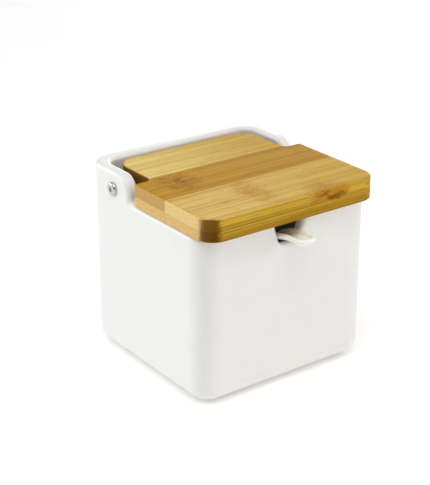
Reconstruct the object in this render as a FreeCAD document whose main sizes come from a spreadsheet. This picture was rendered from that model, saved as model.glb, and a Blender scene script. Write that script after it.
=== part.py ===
# A ceramic salt pot with a hinged two-ply bamboo lid, and a ceramic spoon in a notch of its rim.
# Millimetres, +Z up. The front faces -Y. The origin is the centre of the base, on the table.
import FreeCAD, Part
import math
import os
import re
import Sketcher
from FreeCAD import Placement, Rotation, Vector

SIZES = {
    # Pot: a box with rounded corners, whose rim is low in front and high at the back
    "pot_width": 110.0,
    "pot_depth": 104.8,
    "rim_height": 93.3,
    "ear_height": 13.7,
    "wall": 7.0,
    "floor_thickness": 6.0,
    "corner_radius": 12.0,
    "base_round": 11.4,
    "cavity_round": 5.0,
    "cavity_corner_radius": 9.0,
    "rim_round": 2.4,
    "ear_round": 9.6,
    "ear_root_radius": 2.0,
    # Notch in the front rim: sloping sides, rounded floor and lips
    "notch_top_width": 20.0,
    "notch_floor_width": 10.8,
    "notch_depth": 14.3,
    "notch_floor_radius": 4.6,
    "notch_lip_radius": 3.0,
    # Lid: a wide front, and a neck between the ears
    "lid_thickness": 12.35,
    "lower_ply": 5.7,
    "lid_rest_gap": 0.15,
    "lid_inset": 0.3,
    "front_overhang": 5.1,
    "rear_gap": 3.2,
    "ear_gap": 4.1,
    "shoulder_gap": 5.7,
    "lid_corner_radius": 10.2,
    "shoulder_corner_radius": 1.5,
    "shoulder_root_radius": 3.5,
    "neck_corner_radius": 11.4,
    "lid_top_round": 1.2,
    "lid_under_round": 0.6,
    "rear_stave_width": 33.7,
    "middle_stave_width": 29.4,
    # Hinge: a screw on each side turns with the lid in a bush in the ear
    "pivot_inset": 15.4,
    "pivot_rise": 3.7,
    "ear_reach": 14.1,
    "screw_diameter": 4.0,
    "screw_tip_gap": 1.5,
    "head_diameter": 7.4,
    "head_height": 1.4,
    "head_round": 1.0,
    "head_gap": 0.2,
    "socket_width": 2.6,
    "socket_depth": 0.9,
    "bush_wall": 1.1,
    "bush_recess": 0.3,
    "collar_diameter": 7.0,
    "collar_gap": 0.2,
    "insert_wall": 0.7,
    "insert_length": 11.0,
    "running_clearance": 0.06,
    "seat_clearance": 0.05,
    # Spoon: a channelled handle that bends over the notch, and a bowl that stands on the floor
    "handle_side_gap": 0.78,
    "handle_under_gap": 0.7,
    "handle_rim": 3.0,
    "handle_thickness": 2.2,
    "channel_depth": 2.5,
    "handle_reach": 16.8,
    "handle_rise_angle": 10.0,
    "handle_bend_radius": 38.0,
    "bowl_length": 38.0,
    "bowl_width": 31.0,
    "bowl_depth": 13.2,
    "bowl_foot": 0.8,
    "bowl_wall": 2.4,
    "bowl_rear_gap": 6.8,
    "handle_root": 4.0,
}
# How far a cutter reaches past what it cuts
PAST = 5.0
# Lengths closer than this count as equal
NEAR = 1e-4
# Sine of the least angle at which two faces make a sharp edge
SHARP = 0.1
# Shares of a width that a round may take: one round, or one of two that face each other
ONE_ROUND = 0.95
HALF_ROUND = 0.45
# How much the radius at the cavity's upright corners exceeds the one at its floor, at least
CORNER_MARGIN = 0.5
# A half circle's radius times this leaves its centre on a known side of its ends
JUST_OVER = 1.0001
QUARTER_TURN = 90
HALF_TURN = 180
FULL_TURN = 360

# Places worked out from the sizes, as formulas
POT_TOP = "(rim_height + ear_height)"
LID_UNDERSIDE = "(rim_height + lid_rest_gap)"
LID_TOP = f"({LID_UNDERSIDE} + lid_thickness)"
PLY_LINE = f"({LID_UNDERSIDE} + lower_ply)"
FRONT_FACE = "(-pot_depth / 2)"
REAR_INNER_FACE = "(pot_depth / 2 - wall)"
EAR_INNER_FACE = "(pot_width / 2 - wall)"
LID_REAR = f"({REAR_INNER_FACE} - rear_gap)"
LID_FRONT = f"({FRONT_FACE} - front_overhang)"
LID_HALF_WIDTH = "(pot_width / 2 - lid_inset)"
NECK_HALF_WIDTH = f"({EAR_INNER_FACE} - ear_gap)"
SHOULDER_WIDTH = "(wall + ear_gap - lid_inset)"
SHOULDER_CORNER = f"min(shoulder_corner_radius; {HALF_ROUND} * {SHOULDER_WIDTH})"
SHOULDER_ROOT = f"min(shoulder_root_radius; {ONE_ROUND} * {SHOULDER_WIDTH} - {SHOULDER_CORNER})"
PIVOT_Y = f"({LID_REAR} - pivot_inset)"
PIVOT_Z = f"({LID_UNDERSIDE} + pivot_rise)"
EAR_FRONT = f"({PIVOT_Y} - ear_reach)"
SHOULDER_Y = f"({EAR_FRONT} - shoulder_gap)"
REAR_JOINT_Y = f"({LID_REAR} - rear_stave_width)"
FRONT_JOINT_Y = f"({REAR_JOINT_Y} - middle_stave_width)"
BUSH_BORE_RADIUS = "(screw_diameter / 2 + running_clearance)"
BUSH_RADIUS = f"({BUSH_BORE_RADIUS} + bush_wall)"
INSERT_BORE_RADIUS = "(screw_diameter / 2 + seat_clearance)"
INSERT_RADIUS = f"({INSERT_BORE_RADIUS} + insert_wall)"
NOTCH_SLOPE = "((notch_top_width - notch_floor_width) / (2 * notch_depth))"
# The handle's rims are half round, and its level is where they begin. It lies just above the notch's
# floor where it leaves the inside of the wall, and is level at the centre of its round tip
RISE = "(handle_rise_angle * 1deg)"
NOTCH_FLOOR_Z = "(rim_height - notch_depth)"
DROP_IN_WALL = f"(wall * tan({RISE}) + wall^2 / (2 * handle_bend_radius))"
CHANNEL_SAG = "(channel_depth - handle_rim / 2)"
HANDLE_SAG = f"({CHANNEL_SAG} + handle_thickness)"
ABOVE_NOTCH_FLOOR = f"(handle_under_gap + {HANDLE_SAG} + {DROP_IN_WALL})"
HANDLE_LEVEL = f"({NOTCH_FLOOR_Z} + {ABOVE_NOTCH_FLOOR})"
HANDLE_HALF_WIDTH = f"(notch_floor_width / 2 + {NOTCH_SLOPE} * {ABOVE_NOTCH_FLOOR} - handle_side_gap)"
TIP_Y = f"({FRONT_FACE} - handle_reach + {HANDLE_HALF_WIDTH})"
SWEEP_RADIUS = f"(({FRONT_FACE} - {TIP_Y}) / sin({RISE}))"
TIP_Z = f"({HANDLE_LEVEL} + {SWEEP_RADIUS} * (1 - cos({RISE})))"
# The bowl stands in front of the rear wall, and the handle's straight part runs to the bowl's rim
# as a tangent of the bend, whose centre lies under the notch
BOWL_RIM_Z = "(floor_thickness + bowl_depth)"
BOWL_Y = f"({REAR_INNER_FACE} - bowl_rear_gap - bowl_length / 2)"
HANDLE_AT_RIM_Y = f"({BOWL_Y} - bowl_length / 2 + bowl_wall)"
BEND_CENTRE_Y = f"({FRONT_FACE} - handle_bend_radius * sin({RISE}))"
BEND_CENTRE_Z = f"({HANDLE_LEVEL} - handle_bend_radius * cos({RISE}))"
TO_RIM_Y = f"({HANDLE_AT_RIM_Y} - {BEND_CENTRE_Y})"
TO_RIM_Z = f"({BOWL_RIM_Z} - {BEND_CENTRE_Z})"
STRAIGHT_PART = f"sqrt({TO_RIM_Y}^2 + {TO_RIM_Z}^2 - handle_bend_radius^2)"
DIVE = f"(atan2({TO_RIM_Y}; {TO_RIM_Z}) - atan({STRAIGHT_PART} / handle_bend_radius))"
BEND_END_Y = f"({BEND_CENTRE_Y} + handle_bend_radius * sin({DIVE}))"
BEND_END_Z = f"({BEND_CENTRE_Z} + handle_bend_radius * cos({DIVE}))"
HANDLE_END_Z = f"({BOWL_RIM_Z} - handle_root)"
HANDLE_END_Y = f"({HANDLE_AT_RIM_Y} + handle_root / tan({DIVE}))"

doc = FreeCAD.newDocument("salt_pot")
sheet = doc.addObject("Spreadsheet::Sheet", "sizes")
for row, (alias, number) in enumerate(SIZES.items(), 1):
    sheet.set(f"A{row}", alias)
    sheet.set(f"B{row}", str(number))
    sheet.setAlias(f"B{row}", alias)
doc.recompute()


def formula(text):
    """Point each size's name in a formula at its cell."""
    return re.sub(r"[a-z_]+", lambda word: f"sizes.{word[0]}" if word[0] in SIZES else word[0], text)


def value(text):
    """The number that a formula gives with the sheet's sizes."""
    return float(sheet.evalExpression(formula(text)))


def bind(thing, **formulas):
    """Bind properties to formulas; a double underscore in a name stands for a dot."""
    for name, text in formulas.items():
        thing.setExpression(name.replace("__", "."), formula(text))


def new_body(label):
    body = doc.addObject("PartDesign::Body", label)
    body.Label = label
    return body


def attach(feature, body, plane, offset="0"):
    """Put a sketch on one of its body's origin planes, moved along that plane's normal."""
    support = next(f for f in body.Origin.OriginFeatures if f.Role == plane)
    feature.AttachmentSupport = (support, "")
    feature.MapMode = "FlatFace"
    bind(feature, AttachmentOffset__Base__z=offset)


def arc_between(start, end, radius, turn):
    """An arc of less than a half circle, counterclockwise from start to end where turn is 1."""
    first, last = (start, end) if turn > 0 else (end, start)
    chord = last - first
    height = math.sqrt(radius**2 - (chord.Length / 2) ** 2)
    centre = (first + last) / 2 + Vector(-chord.y, chord.x, 0).normalize() * height
    angles = [math.atan2(p.y - centre.y, p.x - centre.x) for p in (first, last)]
    return Part.ArcOfCircle(Part.Circle(centre, Vector(0, 0, 1), radius), *angles)


def loop(body, name, plane, points, offset="0", arcs=None):
    """A closed sketch through points given as formulas; arcs maps a side to its radius and turn."""
    sketch = body.newObject("Sketcher::SketchObject", name)
    attach(sketch, body, plane, offset)
    arcs = arcs or {}
    places = [Vector(value(x), value(y), 0) for x, y in points]
    firsts = []
    for side, start in enumerate(places):
        end = places[(side + 1) % len(places)]
        if side in arcs:
            radius, turn = arcs[side]
            sketch.addGeometry(arc_between(start, end, value(radius), turn), False)
            fix(sketch, f"radius_{side}", radius, "Radius", side)
            firsts.append(1 if turn > 0 else 2)
        else:
            sketch.addGeometry(Part.LineSegment(start, end), False)
            firsts.append(1)
    for side, (x, y) in enumerate(points):
        before = (side - 1) % len(points)
        sketch.addConstraint(
            Sketcher.Constraint("Coincident", before, 3 - firsts[before], side, firsts[side])
        )
        fix(sketch, f"x_{side}", x, "DistanceX", -1, 1, side, firsts[side])
        fix(sketch, f"y_{side}", y, "DistanceY", -1, 1, side, firsts[side])
    return sketch


def fix(sketch, name, text, kind, *where):
    """Add a named constraint that is bound to a formula."""
    index = sketch.addConstraint(Sketcher.Constraint(kind, *where, value(text)))
    sketch.renameConstraint(index, name)
    bind(sketch, **{f"Constraints__{name}": text})


def rectangle(half_x, half_y):
    return [
        (f"-({half_x})", f"-({half_y})"),
        (half_x, f"-({half_y})"),
        (half_x, half_y),
        (f"-({half_x})", half_y),
    ]


def circle(body, name, plane, x, y, radius, offset="0"):
    sketch = body.newObject("Sketcher::SketchObject", name)
    attach(sketch, body, plane, offset)
    centre = Vector(value(x), value(y), 0)
    sketch.addGeometry(Part.Circle(centre, Vector(0, 0, 1), value(radius)), False)
    fix(sketch, "radius", radius, "Radius", 0)
    fix(sketch, "x", x, "DistanceX", -1, 1, 0, 3)
    fix(sketch, "y", y, "DistanceY", -1, 1, 0, 3)
    return sketch


def pad(body, name, sketch, length):
    feature = body.newObject("PartDesign::Pad", name)
    feature.Profile = sketch
    bind(feature, Length=length)
    doc.recompute()
    return feature


def pocket(body, name, sketch, length, reverse=False, both_ways=False):
    """Cut a sketch's area out of the body, and see that something was cut."""
    before = body.Shape.Volume
    feature = body.newObject("PartDesign::Pocket", name)
    feature.Profile = sketch
    feature.Reversed = reverse
    if both_ways:
        feature.SideType = "Symmetric"
    bind(feature, Length=length)
    doc.recompute()
    if not body.Shape.Volume < before - NEAR:
        raise RuntimeError(f"{name} cuts nothing")
    return feature


def turn(body, name, sketch, angle=FULL_TURN, reverse=False):
    """Revolve a half section about its sketch's upright axis."""
    feature = body.newObject("PartDesign::Revolution", name)
    feature.Profile = sketch
    feature.ReferenceAxis = (sketch, ["V_Axis"])
    feature.Angle = angle
    feature.Reversed = reverse
    doc.recompute()
    return feature


def round_edges(body, name, radius, picked):
    """Round every edge of the body so far that passes a test."""
    base = body.Tip
    names = [f"Edge{i}" for i, edge in enumerate(base.Shape.Edges, 1) if picked(edge)]
    if not names:
        raise RuntimeError(f"{name} finds no edge")
    feature = body.newObject("PartDesign::Fillet", name)
    feature.Base = (base, names)
    bind(feature, Radius=radius)
    doc.recompute()
    if "Invalid" in feature.State:
        raise RuntimeError(f"{name}: {feature.getStatusString()}")
    return feature


def is_at(edge, **places):
    """Whether a whole edge lies at the given places; side and end are distances from the middle."""
    box = edge.BoundBox
    found = {
        "side": (abs(box.XMin), box.XLength),
        "end": (abs(box.YMin), box.YLength),
        "y": (box.YMin, box.YLength),
        "z": (box.ZMin, box.ZLength),
    }
    return all(
        abs(found[axis][0] - value(place)) < NEAR and found[axis][1] < NEAR
        for axis, place in places.items()
    )


def is_upright(edge):
    return edge.BoundBox.XLength < NEAR and edge.BoundBox.YLength < NEAR


def is_sharp(shape, edge):
    """Whether the two faces at an edge meet at an angle."""
    middle = edge.valueAt((edge.FirstParameter + edge.LastParameter) / 2)
    faces = shape.ancestorsOfType(edge, Part.Face)
    normals = [face.normalAt(*face.Surface.parameter(middle)) for face in faces]
    return len(normals) == 2 and normals[0].cross(normals[1]).Length > SHARP


def build_pot():
    pot = new_body("pot")
    outline = loop(pot, "pot_outline", "XY_Plane", rectangle("pot_width / 2", "pot_depth / 2"))
    pad(pot, "pot_block", outline, POT_TOP)
    round_edges(pot, "pot_corners", "corner_radius", is_upright)
    build_rim_step(pot)
    build_notch(pot)
    build_cavity(pot)
    base_limit = f"{ONE_ROUND} * corner_radius"
    round_edges(pot, "base_edges", f"min(base_round; {base_limit})", lambda e: is_at(e, z="0"))
    build_rim_edges(pot)
    holes = circle(pot, "ear_holes", "YZ_Plane", PIVOT_Y, PIVOT_Z, f"{BUSH_RADIUS} + seat_clearance")
    pocket(pot, "ear_hole_cut", holes, "2 * pot_width", both_ways=True)
    return pot


def build_rim_step(pot):
    """Lower the front and side rim, and leave an ear at the back of each side."""
    far_front = f"{FRONT_FACE} - {PAST}"
    far_top = f"{POT_TOP} + {PAST}"
    profile = loop(
        pot,
        "rim_step",
        "YZ_Plane",
        [
            (far_front, "rim_height"),
            (EAR_FRONT, "rim_height"),
            (EAR_FRONT, far_top),
            (far_front, far_top),
        ],
    )
    pocket(pot, "rim_step_cut", profile, "2 * pot_width", both_ways=True)
    round_edges(
        pot,
        "ear_tops",
        "min(ear_round; ear_height - ear_root_radius - rim_round)",
        lambda e: is_at(e, y=EAR_FRONT, z=POT_TOP),
    )
    round_edges(pot, "ear_roots", "ear_root_radius", lambda e: is_at(e, y=EAR_FRONT, z="rim_height"))


def build_notch(pot):
    """A notch with sloping sides through the front wall, where the spoon's handle leaves."""
    top_half = f"notch_top_width / 2 + {PAST} * {NOTCH_SLOPE}"
    top_z = f"rim_height + {PAST}"
    profile = loop(
        pot,
        "notch",
        "XZ_Plane",
        [
            ("-notch_floor_width / 2", NOTCH_FLOOR_Z),
            ("notch_floor_width / 2", NOTCH_FLOOR_Z),
            (top_half, top_z),
            (f"-({top_half})", top_z),
        ],
    )
    pocket(pot, "notch_cut", profile, "pot_depth", reverse=True)
    round_edges(
        pot,
        "notch_floor",
        f"min(notch_floor_radius; {HALF_ROUND} * notch_floor_width)",
        lambda e: is_at(e, side="notch_floor_width / 2", z=NOTCH_FLOOR_Z),
    )
    round_edges(
        pot,
        "notch_lips",
        "notch_lip_radius",
        lambda e: is_at(e, side="notch_top_width / 2", z="rim_height"),
    )


def build_cavity(pot):
    opening = loop(
        pot, "cavity", "XY_Plane", rectangle(EAR_INNER_FACE, REAR_INNER_FACE), offset="floor_thickness"
    )
    pocket(pot, "cavity_cut", opening, f"{POT_TOP} + {PAST}", reverse=True)
    round_edges(
        pot,
        "cavity_corners",
        f"max(cavity_corner_radius; cavity_round + {CORNER_MARGIN})",
        lambda e: is_upright(e) and is_at(e, side=EAR_INNER_FACE, end=REAR_INNER_FACE),
    )
    round_edges(pot, "cavity_floor", "cavity_round", lambda e: is_at(e, z="floor_thickness"))


def build_rim_edges(pot):
    """Round the rim's inner and outer edges all the way: front, notch, sides, ears and back."""
    shape = pot.Tip.Shape
    lowest = value(NOTCH_FLOOR_Z) - NEAR
    round_edges(
        pot,
        "rim_edges",
        f"min(rim_round; {HALF_ROUND} * wall)",
        lambda e: e.BoundBox.ZMin > lowest and is_sharp(shape, e),
    )


def build_lid_blank():
    """The glued board, cut to its T shape and rounded, before it is told apart into staves."""
    blank = new_body("lid_blank")
    neck, half = NECK_HALF_WIDTH, LID_HALF_WIDTH
    outline = loop(
        blank,
        "lid_outline",
        "XY_Plane",
        [
            (f"-{half}", LID_FRONT),
            (half, LID_FRONT),
            (half, SHOULDER_Y),
            (neck, SHOULDER_Y),
            (neck, LID_REAR),
            (f"-{neck}", LID_REAR),
            (f"-{neck}", SHOULDER_Y),
            (f"-{half}", SHOULDER_Y),
        ],
        offset=LID_UNDERSIDE,
    )
    pad(blank, "lid_board", outline, "lid_thickness")

    def corner(x, y):
        return lambda e: is_upright(e) and is_at(e, side=x, y=y)

    round_edges(blank, "front_corners", "lid_corner_radius", corner(half, LID_FRONT))
    round_edges(blank, "shoulder_corners", SHOULDER_CORNER, corner(half, SHOULDER_Y))
    round_edges(blank, "shoulder_roots", SHOULDER_ROOT, corner(neck, SHOULDER_Y))
    round_edges(blank, "neck_corners", "neck_corner_radius", corner(neck, LID_REAR))
    round_edges(blank, "lid_top_edges", "lid_top_round", lambda e: is_at(e, z=LID_TOP))
    round_edges(blank, "lid_under_edges", "lid_under_round", lambda e: is_at(e, z=LID_UNDERSIDE))
    for name, offset, reverse in (
        ("right_bore", NECK_HALF_WIDTH, False),
        ("left_bore", f"-{NECK_HALF_WIDTH}", True),
    ):
        radius = f"{INSERT_RADIUS} + seat_clearance"
        bore = circle(blank, name, "YZ_Plane", PIVOT_Y, PIVOT_Z, radius, offset)
        pocket(blank, f"{name}_cut", bore, "insert_length + seat_clearance", reverse=reverse)
    return blank


def stave(label, blank, x, y, z):
    """One strip of the board: what the board and a box have in common."""
    box = doc.addObject("Part::Box", f"{label}_box")
    bind(
        box,
        Placement__Base__x=x[0],
        Placement__Base__y=y[0],
        Placement__Base__z=z[0],
        Length=f"{x[1]} - ({x[0]})",
        Width=f"{y[1]} - ({y[0]})",
        Height=f"{z[1]} - ({z[0]})",
    )
    strip = doc.addObject("Part::Common", label)
    strip.Base = blank
    strip.Tool = box
    strip.Label = label
    return strip


def build_lid_staves(blank):
    """Two plies of three staves each: all lie along X, and their joints are in line."""
    all_x = (f"-{LID_HALF_WIDTH} - {PAST}", f"{LID_HALF_WIDTH} + {PAST}")
    strips = {
        "rear": (REAR_JOINT_Y, f"{LID_REAR} + {PAST}"),
        "middle": (FRONT_JOINT_Y, REAR_JOINT_Y),
        "front": (f"{LID_FRONT} - {PAST}", FRONT_JOINT_Y),
    }
    plies = {
        "lid": (PLY_LINE, f"{LID_TOP} + {PAST}"),
        "lid_lower": (f"{LID_UNDERSIDE} - {PAST}", PLY_LINE),
    }
    return [
        stave(f"{ply}_{place}_stave", blank, all_x, y, z)
        for ply, z in plies.items()
        for place, y in strips.items()
    ]


def along_hinge(body, side, x):
    """Turn a body's Z axis outward along the hinge, and put its origin at x on that side."""
    body.Placement = Placement(Vector(), Rotation(Vector(0, 1, 0), QUARTER_TURN * side))
    bind(
        body,
        Placement__Base__x=f"{side} * ({x})",
        Placement__Base__y=PIVOT_Y,
        Placement__Base__z=PIVOT_Z,
    )


def build_screw(label, side):
    """A button-head screw: its origin is under the head, and its shank reaches into the insert."""
    screw = new_body(label)
    reach = "(head_gap + wall + ear_gap + insert_length - screw_tip_gap)"
    section = loop(
        screw,
        f"{label}_section",
        "XZ_Plane",
        [
            ("0", f"-{reach}"),
            ("screw_diameter / 2", f"-{reach}"),
            ("screw_diameter / 2", "0"),
            ("head_diameter / 2", "0"),
            ("head_diameter / 2", "head_height"),
            ("0", "head_height"),
        ],
    )
    turn(screw, f"{label}_turned", section)
    round_edges(
        screw,
        f"{label}_crown",
        f"min(head_round; {ONE_ROUND} * head_height)",
        lambda e: is_at(e, z="head_height"),
    )
    corner, half = "socket_width / sqrt(3)", "socket_width / 2"
    hexagon = [
        (corner, "0"),
        (f"{corner} / 2", half),
        (f"-{corner} / 2", half),
        (f"-{corner}", "0"),
        (f"-{corner} / 2", f"-{half}"),
        (f"{corner} / 2", f"-{half}"),
    ]
    socket = loop(screw, f"{label}_socket", "XY_Plane", hexagon, offset="head_height")
    pocket(screw, f"{label}_socket_cut", socket, "socket_depth")
    along_hinge(screw, side, "pot_width / 2 + head_gap")
    return screw


def build_bush(label, side):
    """A sleeve in the ear's hole, with a collar between ear and lid: its origin is where both meet."""
    bush = new_body(label)
    sleeve = "(wall - bush_recess)"
    collar = "(ear_gap - collar_gap)"
    section = loop(
        bush,
        f"{label}_section",
        "XZ_Plane",
        [
            (BUSH_BORE_RADIUS, f"-{collar}"),
            ("collar_diameter / 2", f"-{collar}"),
            ("collar_diameter / 2", "0"),
            (BUSH_RADIUS, "0"),
            (BUSH_RADIUS, sleeve),
            (BUSH_BORE_RADIUS, sleeve),
        ],
    )
    turn(bush, f"{label}_turned", section)
    along_hinge(bush, side, EAR_INNER_FACE)
    return bush


def build_insert(label, side):
    """A plain threaded insert, flush with the neck's side: its origin is on that side."""
    insert = new_body(label)
    section = loop(
        insert,
        f"{label}_section",
        "XZ_Plane",
        [
            (INSERT_BORE_RADIUS, "-insert_length"),
            (INSERT_RADIUS, "-insert_length"),
            (INSERT_RADIUS, "0"),
            (INSERT_BORE_RADIUS, "0"),
        ],
    )
    turn(insert, f"{label}_turned", section)
    along_hinge(insert, side, NECK_HALF_WIDTH)
    return insert


def build_handle():
    """A channelled strip: its round tip is level, it bends over the notch and dives to the bowl."""
    handle = new_body("spoon_handle")
    half, lip = HANDLE_HALF_WIDTH, f"({HANDLE_HALF_WIDTH} - handle_rim)"
    underside = (f"{half}^2 / (2 * {HANDLE_SAG}) + {HANDLE_SAG} / 2", 1)
    rim = (f"handle_rim / 2 * {JUST_OVER}", 1)
    channel = (f"{lip}^2 / (2 * {CHANNEL_SAG}) + {CHANNEL_SAG} / 2", -1)
    section = loop(
        handle,
        "handle_section",
        "XZ_Plane",
        [(f"-{half}", TIP_Z), (half, TIP_Z), (lip, TIP_Z), (f"-{lip}", TIP_Z)],
        offset=f"-{TIP_Y}",
        arcs={0: underside, 1: rim, 2: channel, 3: rim},
    )
    pipe = handle.newObject("PartDesign::AdditivePipe", "handle_pipe")
    pipe.Profile = section
    pipe.Spine = (build_handle_spine(handle), [])
    doc.recompute()
    half_section = loop(
        handle,
        "tip_section",
        "XZ_Plane",
        [
            ("0", f"{TIP_Z} - {HANDLE_SAG}"),
            (half, TIP_Z),
            (lip, TIP_Z),
            ("0", f"{TIP_Z} - {CHANNEL_SAG}"),
        ],
        offset=f"-{TIP_Y}",
        arcs={0: underside, 1: rim, 2: channel},
    )
    turn(handle, "handle_tip", half_section, HALF_TURN, reverse=True)
    return handle


def build_handle_spine(handle):
    """Two arcs and a straight part, from the tip's centre over the front face to the bowl."""
    spine = handle.newObject("Sketcher::SketchObject", "handle_spine")
    attach(spine, handle, "YZ_Plane")
    tip = Vector(value(TIP_Y), value(TIP_Z), 0)
    wall_point = Vector(value(FRONT_FACE), value(HANDLE_LEVEL), 0)
    bend_end = Vector(value(BEND_END_Y), value(BEND_END_Z), 0)
    end = Vector(value(HANDLE_END_Y), value(HANDLE_END_Z), 0)
    spine.addGeometry(arc_between(tip, wall_point, value(SWEEP_RADIUS), -1), False)
    spine.addGeometry(arc_between(wall_point, bend_end, value("handle_bend_radius"), -1), False)
    spine.addGeometry(Part.LineSegment(bend_end, end), False)
    spine.addConstraint(Sketcher.Constraint("Coincident", 0, 1, 1, 2))
    spine.addConstraint(Sketcher.Constraint("Coincident", 1, 1, 2, 1))
    for name, side, point, y, z in (
        ("tip", 0, 2, TIP_Y, TIP_Z),
        ("wall", 0, 1, FRONT_FACE, HANDLE_LEVEL),
        ("bend", 2, 1, BEND_END_Y, BEND_END_Z),
        ("end", 2, 2, HANDLE_END_Y, HANDLE_END_Z),
    ):
        fix(spine, f"{name}_y", y, "DistanceX", -1, 1, side, point)
        fix(spine, f"{name}_z", z, "DistanceY", -1, 1, side, point)
    fix(spine, "sweep_radius", SWEEP_RADIUS, "Radius", 0)
    fix(spine, "bend_radius", "handle_bend_radius", "Radius", 1)
    return spine


def ellipsoid(name, shrink, top_angle):
    """An ellipsoid for the bowl, its wall's inner or outer surface."""
    solid = doc.addObject("Part::Ellipsoid", name)
    solid.Angle1 = -QUARTER_TURN
    solid.Angle2 = top_angle
    bind(
        solid,
        Radius1=f"bowl_depth + bowl_foot - {shrink}",
        Radius2=f"bowl_width / 2 - {shrink}",
        Radius3=f"bowl_length / 2 - {shrink}",
        Placement__Base__y=BOWL_Y,
        Placement__Base__z=BOWL_RIM_Z,
    )
    return solid


def boolean(kind, name, base, tool):
    feature = doc.addObject(f"Part::{kind}", name)
    feature.Base = base
    feature.Tool = tool
    return feature


def build_spoon():
    solid = boolean("Fuse", "spoon_solid", build_handle(), ellipsoid("bowl_outside", "0", 0))
    hollow = boolean("Cut", "spoon_hollow", solid, ellipsoid("bowl_inside", "bowl_wall", QUARTER_TURN))
    below = doc.addObject("Part::Box", "below_floor")
    bind(
        below,
        Length="pot_width",
        Width="pot_depth",
        Height="floor_thickness",
        Placement__Base__x="-pot_width / 2",
        Placement__Base__y="-pot_depth / 2",
    )
    spoon = boolean("Cut", "spoon", hollow, below)
    spoon.Label = "spoon"
    return spoon


def check(pieces):
    """Stop if any object failed, or a piece isn't one valid solid."""
    doc.recompute()
    for thing in doc.Objects:
        if {"Invalid", "Error"} & set(thing.State):
            raise RuntimeError(f"{thing.Label} failed: {thing.State}")
    for piece in pieces:
        shape = piece.Shape
        if shape.isNull() or not shape.isValid() or len(shape.Solids) != 1:
            raise RuntimeError(f"{piece.Label} is not one valid solid")


pieces = [build_pot()]
pieces += build_lid_staves(build_lid_blank())
for word, side in (("left", -1), ("right", 1)):
    pieces.append(build_screw(f"{word}_hinge_screw", side))
    pieces.append(build_bush(f"{word}_hinge_bush", side))
    pieces.append(build_insert(f"{word}_threaded_insert", side))
pieces.append(build_spoon())
check(pieces)
os.makedirs("parts", exist_ok=True)
for piece in pieces:
    piece.Shape.exportStep(f"parts/{piece.Label}.step")
    print(f"{piece.Label}: {piece.Shape.Volume:.0f} mm3")
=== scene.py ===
import math

import bpy
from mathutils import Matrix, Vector

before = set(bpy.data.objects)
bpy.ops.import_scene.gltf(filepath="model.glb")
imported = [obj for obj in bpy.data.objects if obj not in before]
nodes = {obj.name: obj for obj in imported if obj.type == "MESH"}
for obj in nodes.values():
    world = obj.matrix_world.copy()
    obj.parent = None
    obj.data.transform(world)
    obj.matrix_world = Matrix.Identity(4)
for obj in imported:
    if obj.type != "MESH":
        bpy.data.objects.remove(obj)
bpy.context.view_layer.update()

MM = 0.001
PER_METRE_TO_MM = 1000.0


def linear(hex_colour):
    """Linear RGBA of an sRGB hex colour."""
    parts = [int(hex_colour[i:i + 2], 16) / 255 for i in (1, 3, 5)]
    return tuple(p / 12.92 if p <= 0.04045 else ((p + 0.055) / 1.055) ** 2.4 for p in parts) + (1.0,)


def add(tree, kind, settings, inputs):
    """Add a node: settings are its properties, or a ramp's stops, and inputs are values or sockets."""
    node = tree.nodes.new(kind)
    for name, value in settings.items():
        if name == "stops":
            ramp = node.color_ramp
            while len(ramp.elements) < len(value):
                ramp.elements.new(1.0)
            for element, (place, colour) in zip(ramp.elements, value):
                element.position = place
                element.color = colour
        else:
            setattr(node, name, value)
    for key, value in inputs.items():
        if isinstance(value, bpy.types.NodeSocket):
            tree.links.new(value, node.inputs[key])
        else:
            node.inputs[key].default_value = value
    return node


def new_material(name):
    """An empty material, its node tree and its output node."""
    material = bpy.data.materials.new(name)
    material.use_nodes = True
    tree = material.node_tree
    tree.nodes.clear()
    return material, tree, tree.nodes.new("ShaderNodeOutputMaterial")


def dress(node, material):
    """Give a CAD node one material."""
    mesh = nodes[node].data
    mesh.materials.clear()
    mesh.materials.append(material)


# Materials


def glazed_stoneware(name, glaze, bare, roughness):
    """Slip-cast stoneware under a satin white glaze: a soft sheen over faint waves where the glaze ran,
    and a bare, chalky foot where it was wiped off before firing."""
    material, tree, output = new_material(name)
    place = add(tree, "ShaderNodeTexCoord", {}, {}).outputs["Object"]
    in_mm = add(tree, "ShaderNodeMapping", {}, {"Vector": place, "Scale": (PER_METRE_TO_MM,) * 3})
    wave_mm = 14.0
    wave = add(
        tree,
        "ShaderNodeTexNoise",
        {},
        {"Vector": in_mm.outputs[0], "Scale": 1 / wave_mm, "Detail": 2.0, "Roughness": 0.4},
    )
    tone = add(
        tree,
        "ShaderNodeValToRGB",
        {"stops": [(0.3, linear(glaze[0])), (0.7, linear(glaze[1]))]},
        {"Fac": wave.outputs[0]},
    )
    height = add(tree, "ShaderNodeSeparateXYZ", {}, {"Vector": in_mm.outputs[0]}).outputs["Z"]
    foot_mm = (0.15, 0.6)
    glazed = add(
        tree,
        "ShaderNodeMapRange",
        {"interpolation_type": "SMOOTHSTEP"},
        {"Value": height, "From Min": foot_mm[0], "From Max": foot_mm[1]},
    ).outputs[0]
    colour = add(
        tree,
        "ShaderNodeMix",
        {"data_type": "RGBA"},
        {0: glazed, 6: linear(bare), 7: tone.outputs[0]},
    )
    bare_roughness = 0.85
    shine = add(
        tree,
        "ShaderNodeMapRange",
        {},
        {"Value": glazed, "To Min": bare_roughness, "To Max": roughness},
    )
    wave_height_mm = 0.12
    bump = add(
        tree,
        "ShaderNodeBump",
        {},
        {"Height": wave.outputs[0], "Strength": 0.1, "Distance": wave_height_mm * MM},
    )
    shader = add(
        tree,
        "ShaderNodeBsdfPrincipled",
        {},
        {
            "Base Color": colour.outputs[2],
            "Roughness": shine.outputs[0],
            "IOR": 1.5,
            "Normal": bump.outputs[0],
        },
    )
    tree.links.new(shader.outputs[0], output.inputs["Surface"])
    return material


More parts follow.
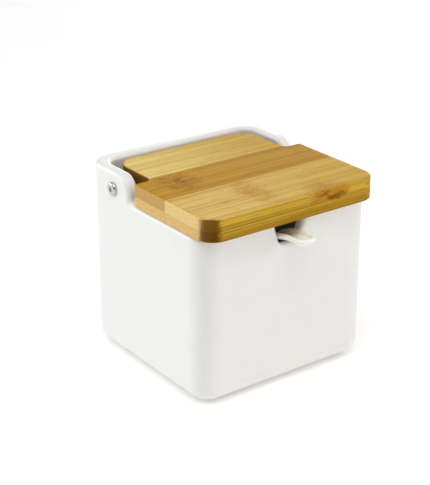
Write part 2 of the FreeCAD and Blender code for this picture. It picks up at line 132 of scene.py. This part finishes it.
def bamboo(name, tones, knuckles, seed):
    """Laminated bamboo, sanded and oiled: long straight fibres, short brown bundles between them, honey
    clouds and dark specks at the knuckles where the cane had a joint, upright edges darker than the flat
    sides, flat sides paler toward the left end as a painted sheen, dotted end grain, and a front corner
    burnt brown by the cutter and darkened further with painted shade."""
    material, tree, output = new_material(name)
    coordinates = add(tree, "ShaderNodeTexCoord", {}, {})
    facing = add(tree, "ShaderNodeSeparateXYZ", {}, {"Vector": coordinates.outputs["Normal"]}).outputs
    in_mm = add(
        tree,
        "ShaderNodeMapping",
        {},
        {"Vector": coordinates.outputs["Object"], "Scale": (PER_METRE_TO_MM,) * 3},
    ).outputs[0]
    at = add(tree, "ShaderNodeSeparateXYZ", {}, {"Vector": in_mm}).outputs

    def maths(operation, first, second):
        return add(tree, "ShaderNodeMath", {"operation": operation}, {0: first, 1: second}).outputs[0]

    def between(number, low, high, least=0.0, most=1.0):
        """A number's soft passage from one level to another."""
        return add(
            tree,
            "ShaderNodeMapRange",
            {"interpolation_type": "SMOOTHSTEP"},
            {"Value": number, "From Min": low, "From Max": high, "To Min": least, "To Max": most},
        ).outputs[0]

    def blend(share, first, second):
        return add(
            tree, "ShaderNodeMix", {"data_type": "RGBA"}, {0: share, 6: first, 7: second}
        ).outputs[2]

    # A soft spot for each knuckle, 1 at its middle and 0 at its half size
    full_within = 0.2
    spots = []
    for (x_mm, y_mm), (half_x_mm, half_y_mm), _, _ in knuckles:
        from_middle = add(
            tree,
            "ShaderNodeMapping",
            {},
            {
                "Vector": in_mm,
                "Scale": (1 / half_x_mm, 1 / half_y_mm, 0.0),
                "Location": (-x_mm / half_x_mm, -y_mm / half_y_mm, 0.0),
            },
        ).outputs[0]
        away = add(tree, "ShaderNodeVectorMath", {"operation": "LENGTH"}, {0: from_middle}).outputs["Value"]
        spots.append(between(away, full_within, 1.0, 1.0, 0.0))

    # Fibres run straight along X, and swirl at a knuckle
    swirl_mm = (6.0, 3.0, 3.0)
    swirl_place = add(
        tree,
        "ShaderNodeMapping",
        {},
        {"Vector": in_mm, "Scale": tuple(1 / s for s in swirl_mm), "Location": (seed, seed, 0.0)},
    ).outputs[0]
    swirl = add(
        tree, "ShaderNodeTexNoise", {}, {"Vector": swirl_place, "Scale": 1.0, "Detail": 1.0}
    ).outputs[0]
    swirl_reach_mm = 6.0
    push = maths("MULTIPLY", maths("SUBTRACT", swirl, 0.5), swirl_reach_mm)
    strongest = 0.0
    for spot in spots:
        strongest = maths("MAXIMUM", strongest, spot)
    push = maths("MULTIPLY", push, strongest)
    pushed = add(tree, "ShaderNodeCombineXYZ", {}, {"Y": push, "Z": push}).outputs[0]
    grain_place = add(tree, "ShaderNodeVectorMath", {"operation": "ADD"}, {0: in_mm, 1: pushed}).outputs[0]

    grain_shift = (seed * 3.1, seed * 1.7, seed)

    def fibres(length_mm, width_mm, detail):
        """Noise drawn out along the grain."""
        stretched = add(
            tree,
            "ShaderNodeMapping",
            {},
            {
                "Vector": grain_place,
                "Scale": (1 / length_mm, 1 / width_mm, 1 / width_mm),
                "Location": grain_shift,
            },
        )
        return add(
            tree,
            "ShaderNodeTexNoise",
            {},
            {"Vector": stretched.outputs[0], "Scale": 1.0, "Detail": detail, "Roughness": 0.55},
        ).outputs[0]

    # Fibres are about 0.3 mm wide, drawn coarser here so that they show
    fine_mm = (130.0, 0.8)
    broad_mm = (300.0, 3.5)
    fine = fibres(*fine_mm, 3.0)
    broad = fibres(*broad_mm, 2.0)
    streaks = add(tree, "ShaderNodeMix", {"data_type": "FLOAT"}, {0: 0.5, 2: fine, 3: broad}).outputs[0]

    streak_levels = (0.38, 0.5, 0.62)

    def grain(three_tones):
        """Dark, middle and light tone by the streaks."""
        stops = list(zip(streak_levels, (linear(tone) for tone in three_tones)))
        return add(tree, "ShaderNodeValToRGB", {"stops": stops}, {"Fac": streaks}).outputs[0]

    # The flat sides are paler than the upright edges, and paler toward the left end as a painted sheen of
    # the left lamps
    upward = maths("ABSOLUTE", facing["Z"], 0.0)
    painted_sheen_fade_mm = (-50.0, 50.0)
    # Painted sheen: the flat tone goes from pale at the left end to deeper at the right end
    flat = blend(between(at["X"], *painted_sheen_fade_mm), grain(tones["flat"]), grain(tones["flat_far"]))
    flat_from = (0.1, 0.95)
    # Upright faces take the edge tones, mostly darker than the flat sides
    long_grain = blend(between(upward, *flat_from), grain(tones["edge"]), flat)

    # Brown bundles: short dashes along the grain
    mark = linear(tones["mark"])
    dash_mm = (9.0, 0.6)
    dash_depth = 0.38
    dash_levels = (0.56, 0.72)
    dashes = between(fibres(*dash_mm, 2.0), *dash_levels, 0.0, dash_depth)
    long_grain = blend(dashes, long_grain, mark)

    # Knuckles: an uneven cloud of honey tone, then darker specks or wavy lines in it
    cloud_mm = (9.0, 4.0)
    thinnest_cloud = 0.35
    cloud_levels = (0.3, 0.6)
    speck_levels = (0.5, 0.64)
    cloud = between(fibres(*cloud_mm, 2.0), *cloud_levels, thinnest_cloud, 1.0)
    for spot, (_, _, honey_depth, (length_mm, width_mm, mark_depth)) in zip(spots, knuckles):
        honey = maths("MULTIPLY", maths("MULTIPLY", cloud, spot), honey_depth)
        long_grain = blend(honey, long_grain, linear(tones["knuckle"]))
        specks = between(fibres(length_mm, width_mm, 2.0), *speck_levels, 0.0, mark_depth)
        long_grain = blend(maths("MULTIPLY", specks, spot), long_grain, mark)

    # End grain: bundles seen from their ends, about 1 mm apart
    bundle_mm = 1.1
    dots = add(
        tree,
        "ShaderNodeTexVoronoi",
        {},
        {"Vector": in_mm, "Scale": 1 / bundle_mm, "Randomness": 0.8},
    ).outputs["Distance"]
    dot_levels = (0.15, 0.45)
    end_grain = add(
        tree,
        "ShaderNodeValToRGB",
        {"stops": list(zip(dot_levels, (linear(tone) for tone in tones["end"])))},
        {"Fac": dots},
    ).outputs[0]
    end_facing = maths("ABSOLUTE", facing["X"], 0.0)
    end_from = (0.55, 0.85)
    wood = blend(between(end_facing, *end_from), long_grain, end_grain)

    # The burnt front corner, darkened further with painted shade: where an upright face at the front's left
    # looks along both X and Y
    streak_mm = (1.2, 1.2, 9.0)
    streak_place = add(
        tree, "ShaderNodeMapping", {}, {"Vector": in_mm, "Scale": tuple(1 / s for s in streak_mm)}
    ).outputs[0]
    burn = add(
        tree, "ShaderNodeTexNoise", {}, {"Vector": streak_place, "Scale": 1.0, "Detail": 2.0}
    ).outputs[0]
    both_ways = maths("MULTIPLY", facing["X"], facing["Y"])
    raggedness = 0.25
    uneven = maths("ADD", both_ways, maths("MULTIPLY", maths("SUBTRACT", burn, 0.5), raggedness))
    behind_corner_mm = (-44.0, -40.0)
    burnt_and_shaded_depth = 0.95
    at_front = between(at["Y"], *behind_corner_mm, 1.0, 0.0)
    burnt_and_shaded_levels = (0.08, 0.42)
    burnt_and_shaded = maths("MULTIPLY", between(uneven, *burnt_and_shaded_levels, 0.0, burnt_and_shaded_depth), at_front)
    wood = blend(burnt_and_shaded, wood, linear(tones["burnt_and_shaded"]))

    roughness = (0.62, 0.42)
    shine = add(
        tree, "ShaderNodeMapRange", {}, {"Value": fine, "To Min": roughness[0], "To Max": roughness[1]}
    ).outputs[0]
    fibre_height_mm = 0.15
    bump = add(
        tree, "ShaderNodeBump", {}, {"Height": streaks, "Strength": 0.3, "Distance": fibre_height_mm * MM}
    ).outputs[0]
    shader = add(
        tree,
        "ShaderNodeBsdfPrincipled",
        {},
        {"Base Color": wood, "Roughness": shine, "IOR": 1.48, "Specular IOR Level": 0.06, "Normal": bump},
    )
    tree.links.new(shader.outputs[0], output.inputs["Surface"])
    return material


def turned_metal(name, tone, roughness, grit_mm):
    """Turned metal: a fine grit left by the tool, which softens each glint and varies its tone."""
    material, tree, output = new_material(name)
    place = add(tree, "ShaderNodeTexCoord", {}, {}).outputs["Object"]
    in_mm = add(tree, "ShaderNodeMapping", {}, {"Vector": place, "Scale": (PER_METRE_TO_MM,) * 3})
    grit = add(
        tree,
        "ShaderNodeTexNoise",
        {},
        {"Vector": in_mm.outputs[0], "Scale": 1 / grit_mm, "Detail": 3.0},
    ).outputs[0]
    colour = add(
        tree,
        "ShaderNodeValToRGB",
        {"stops": [(0.3, linear(tone[0])), (0.7, linear(tone[1]))]},
        {"Fac": grit},
    ).outputs[0]
    shine = add(
        tree, "ShaderNodeMapRange", {}, {"Value": grit, "To Min": roughness[0], "To Max": roughness[1]}
    ).outputs[0]
    grit_height_mm = 0.02
    bump = add(
        tree, "ShaderNodeBump", {}, {"Height": grit, "Strength": 0.1, "Distance": grit_height_mm * MM}
    ).outputs[0]
    shader = add(
        tree,
        "ShaderNodeBsdfPrincipled",
        {},
        {"Base Color": colour, "Metallic": 1.0, "Roughness": shine, "Normal": bump},
    )
    tree.links.new(shader.outputs[0], output.inputs["Surface"])
    return material


def moulded_nylon(name, tone):
    """Moulded nylon: black, matt and slightly mottled."""
    material, tree, output = new_material(name)
    place = add(tree, "ShaderNodeTexCoord", {}, {}).outputs["Object"]
    in_mm = add(tree, "ShaderNodeMapping", {}, {"Vector": place, "Scale": (PER_METRE_TO_MM,) * 3})
    mottle_mm = 0.8
    mottle = add(
        tree,
        "ShaderNodeTexNoise",
        {},
        {"Vector": in_mm.outputs[0], "Scale": 1 / mottle_mm, "Detail": 2.0},
    ).outputs[0]
    colour = add(
        tree,
        "ShaderNodeValToRGB",
        {"stops": [(0.3, linear(tone[0])), (0.7, linear(tone[1]))]},
        {"Fac": mottle},
    ).outputs[0]
    mottle_height_mm = 0.02
    bump = add(
        tree, "ShaderNodeBump", {}, {"Height": mottle, "Strength": 0.2, "Distance": mottle_height_mm * MM}
    ).outputs[0]
    shader = add(
        tree,
        "ShaderNodeBsdfPrincipled",
        {},
        {"Base Color": colour, "Roughness": 0.5, "IOR": 1.53, "Normal": bump},
    )
    tree.links.new(shader.outputs[0], output.inputs["Surface"])
    return material


def white_sweep(name, brightness):
    """A white paper sweep under the pot, with fine paper fibre, lit through as on a light table."""
    material, tree, output = new_material(name)
    place = add(tree, "ShaderNodeTexCoord", {}, {}).outputs["Object"]
    fibres_per_metre = 900.0
    fibre = add(tree, "ShaderNodeTexNoise", {}, {"Vector": place, "Scale": fibres_per_metre}).outputs[0]
    colour = add(
        tree,
        "ShaderNodeValToRGB",
        {"stops": [(0.0, linear("#f6f6f5")), (1.0, linear("#fafafa"))]},
        {"Fac": fibre},
    ).outputs[0]
    paper = add(tree, "ShaderNodeBsdfDiffuse", {}, {"Color": colour})
    glow = add(tree, "ShaderNodeEmission", {}, {"Color": linear("#ffffff"), "Strength": brightness})
    shader = add(tree, "ShaderNodeAddShader", {}, {0: paper.outputs[0], 1: glow.outputs[0]})
    tree.links.new(shader.outputs[0], output.inputs["Surface"])
    return material


dress("pot", glazed_stoneware("satin_white_stoneware", ("#ebebe9", "#ededeb"), "#d8d0c4", 0.38))
dress("spoon", glazed_stoneware("gloss_white_stoneware", ("#f7f5f1", "#faf8f5"), "#f7f5f1", 0.16))

# Tones of the staves: the flat sides at the left end, paler there as a painted sheen, and at the right end,
# and the upright edges, each from dark to light, then the end grain's dots and ground, the brown marks, the
# knuckles' honey and the front corner's burnt brown, which is also painted shade.
# The upper rear stave's ends stand in the shaded cut between the ears, so their end grain is painted dark
# brown as painted shade
REAR_BAMBOO = {
    "flat": ("#cfac5c", "#ddc477", "#e7d792"),
    "flat_far": ("#b6892d", "#c29d3d", "#cbab4c"),
    "edge": ("#af8925", "#c19a2f", "#cda943"),
    # Painted shade: dark end grain for the shaded cut between the ears
    "end": ("#5e3a0c", "#83591c"),
    "mark": "#7a4a10",
    "knuckle": "#b8821c",
    "burnt_and_shaded": "#70480a",
}
FRONT_BAMBOO = {
    "flat": ("#c19744", "#cfac5a", "#d9bd6e"),
    "flat_far": ("#b58628", "#c19937", "#caa844"),
    "edge": ("#97761e", "#c19a2f", "#e0b94a"),
    "end": ("#d9ba77", "#e6c886"),
    "mark": "#7a4a10",
    "knuckle": "#b8821c",
    "burnt_and_shaded": "#70480a",
}
MIDDLE_BAMBOO = {
    "flat": ("#a46f11", "#b6841a", "#c29624"),
    "flat_far": ("#9f6e11", "#b08219", "#bc9323"),
    "edge": ("#9c7116", "#ac811e", "#b9902b"),
    "end": ("#b88f56", "#c8a062"),
    "mark": "#6e420c",
    "knuckle": "#9c6414",
    "burnt_and_shaded": "#70480a",
}
LOWER_BAMBOO = {
    "flat": ("#c89a52", "#d8b06c", "#e2c084"),
    "flat_far": ("#c89a52", "#d8b06c", "#e2c084"),
    "edge": ("#85610f", "#ad861f", "#cca63b"),
    "end": ("#c89e51", "#debb78"),
    "mark": "#7a4a10",
    "knuckle": "#b8821c",
    "burnt_and_shaded": "#643a06",
}
# Knuckles: middle and half size on the lid, in mm, depth of the cloud, then length and width of the
# marks, in mm, and their depth
REAR_KNUCKLES = [((20.2, 22.4), (2.2, 1.0), 0.0, (1.6, 0.9, 0.9))]
MIDDLE_KNUCKLES = [((-34.5, -4.5), (15.0, 17.0), 0.5, (7.0, 1.2, 0.8))]
FRONT_KNUCKLES = [
    ((-12.0, -37.0), (12.0, 25.0), 0.6, (2.2, 0.8, 0.42)),
    ((21.0, -56.0), (17.0, 16.0), 0.7, (3.0, 0.9, 0.45)),
    ((23.0, -58.5), (18.0, 3.0), 1.0, (9.0, 3.0, 0.95)),
]
# Tones, knuckles and a number that shifts the grain, so that no two staves are cut from one cane
STAVES = {
    "lid_rear": (REAR_BAMBOO, REAR_KNUCKLES, 1.3),
    "lid_middle": (MIDDLE_BAMBOO, MIDDLE_KNUCKLES, 5.9),
    "lid_front": (FRONT_BAMBOO, FRONT_KNUCKLES, 9.2),
    "lid_lower_rear": (LOWER_BAMBOO, [], 2.6),
    "lid_lower_middle": (LOWER_BAMBOO, [], 5.2),
    "lid_lower_front": (LOWER_BAMBOO, [], 7.8),
}
for stave, (tones, knuckles, seed) in STAVES.items():
    dress(f"{stave}_stave", bamboo(f"oiled_bamboo_{stave}", tones, knuckles, seed))
steel = turned_metal("polished_stainless_steel", ("#b0b2b4", "#d2d3d4"), (0.16, 0.3), 0.25)
brass = turned_metal("turned_brass", ("#b98f4a", "#cfa45c"), (0.25, 0.38), 0.25)
nylon = moulded_nylon("black_nylon", ("#2a2928", "#343332"))
for word in ("left", "right"):
    dress(f"{word}_hinge_screw", steel)
    dress(f"{word}_threaded_insert", brass)
    dress(f"{word}_hinge_bush", nylon)

# Floor, light and camera

FLOOR_SIDE = 8.0
FLOOR_GLOW = 0.16
bpy.ops.object.select_all(action="DESELECT")
bpy.ops.mesh.primitive_plane_add(size=FLOOR_SIDE, location=(0.0, 0.0, 0.0))
floor = bpy.context.object
floor.name = "floor"
floor.data.materials.append(white_sweep("white_paper_sweep", FLOOR_GLOW))

LIT_POINT = Vector((0.0, 0.0, 0.05))
LIGHT_DISTANCE = 1.3
LIGHT_SIDE = 0.9


def softbox(name, azimuth, elevation, power, tone):
    """A square soft light that looks at the pot; azimuth 0 is in front, and grows to the right."""
    turn = math.radians(azimuth)
    rise = math.radians(elevation)
    away = Vector(
        (math.sin(turn) * math.cos(rise), -math.cos(turn) * math.cos(rise), math.sin(rise))
    )
    bpy.ops.object.light_add(type="AREA", location=LIT_POINT + LIGHT_DISTANCE * away)
    light = bpy.context.object
    light.name = name
    light.data.shape = "SQUARE"
    light.data.size = LIGHT_SIDE
    light.data.energy = power
    light.data.color = linear(tone)[:3]
    light.rotation_euler = away.to_track_quat("Z", "Y").to_euler()


softbox("overhead_softbox", 0.0, 85.0, 4.2, "#eef5ff")
softbox("high_left_softbox", 300.0, 60.0, 5.8, "#fffef6")
softbox("high_front_softbox", 0.0, 60.0, 3.0, "#fff5e6")
softbox("low_left_softbox", 220.0, 12.0, 9.0, "#f9faff")
softbox("low_right_softbox", 53.0, 12.0, 6.2, "#fff9fc")
softbox("low_rear_softbox", 130.0, 12.0, 6.0, "#fafbff")

world = bpy.data.worlds.new("white_studio_walls")
bpy.context.scene.world = world
world.use_nodes = True
WALL_GLOW = 0.2
walls = world.node_tree.nodes["Background"]
walls.inputs["Color"].default_value = linear("#ffffff")
walls.inputs["Strength"].default_value = WALL_GLOW

CAMERA_AZIMUTH = math.radians(-36.27)
CAMERA_ELEVATION = math.radians(23.22)
CAMERA_DISTANCE = 0.7178
CAMERA_TARGET = Vector((-0.00533, 0.00431, 0.0618))
CAMERA_LENS_MM = 98.46
CAMERA_SENSOR_MM = 36.0
CAMERA_FAR_END = 50.0
back = Vector(
    (
        math.sin(CAMERA_AZIMUTH) * math.cos(CAMERA_ELEVATION),
        -math.cos(CAMERA_AZIMUTH) * math.cos(CAMERA_ELEVATION),
        math.sin(CAMERA_ELEVATION),
    )
)
bpy.ops.object.camera_add(location=CAMERA_TARGET + CAMERA_DISTANCE * back)
camera = bpy.context.object
camera.rotation_euler = back.to_track_quat("Z", "Y").to_euler()
camera.data.lens = CAMERA_LENS_MM
camera.data.sensor_width = CAMERA_SENSOR_MM
camera.data.sensor_fit = "AUTO"
camera.data.clip_end = CAMERA_FAR_END
bpy.context.scene.camera = camera
bpy.context.scene.view_settings.view_transform = "Standard"
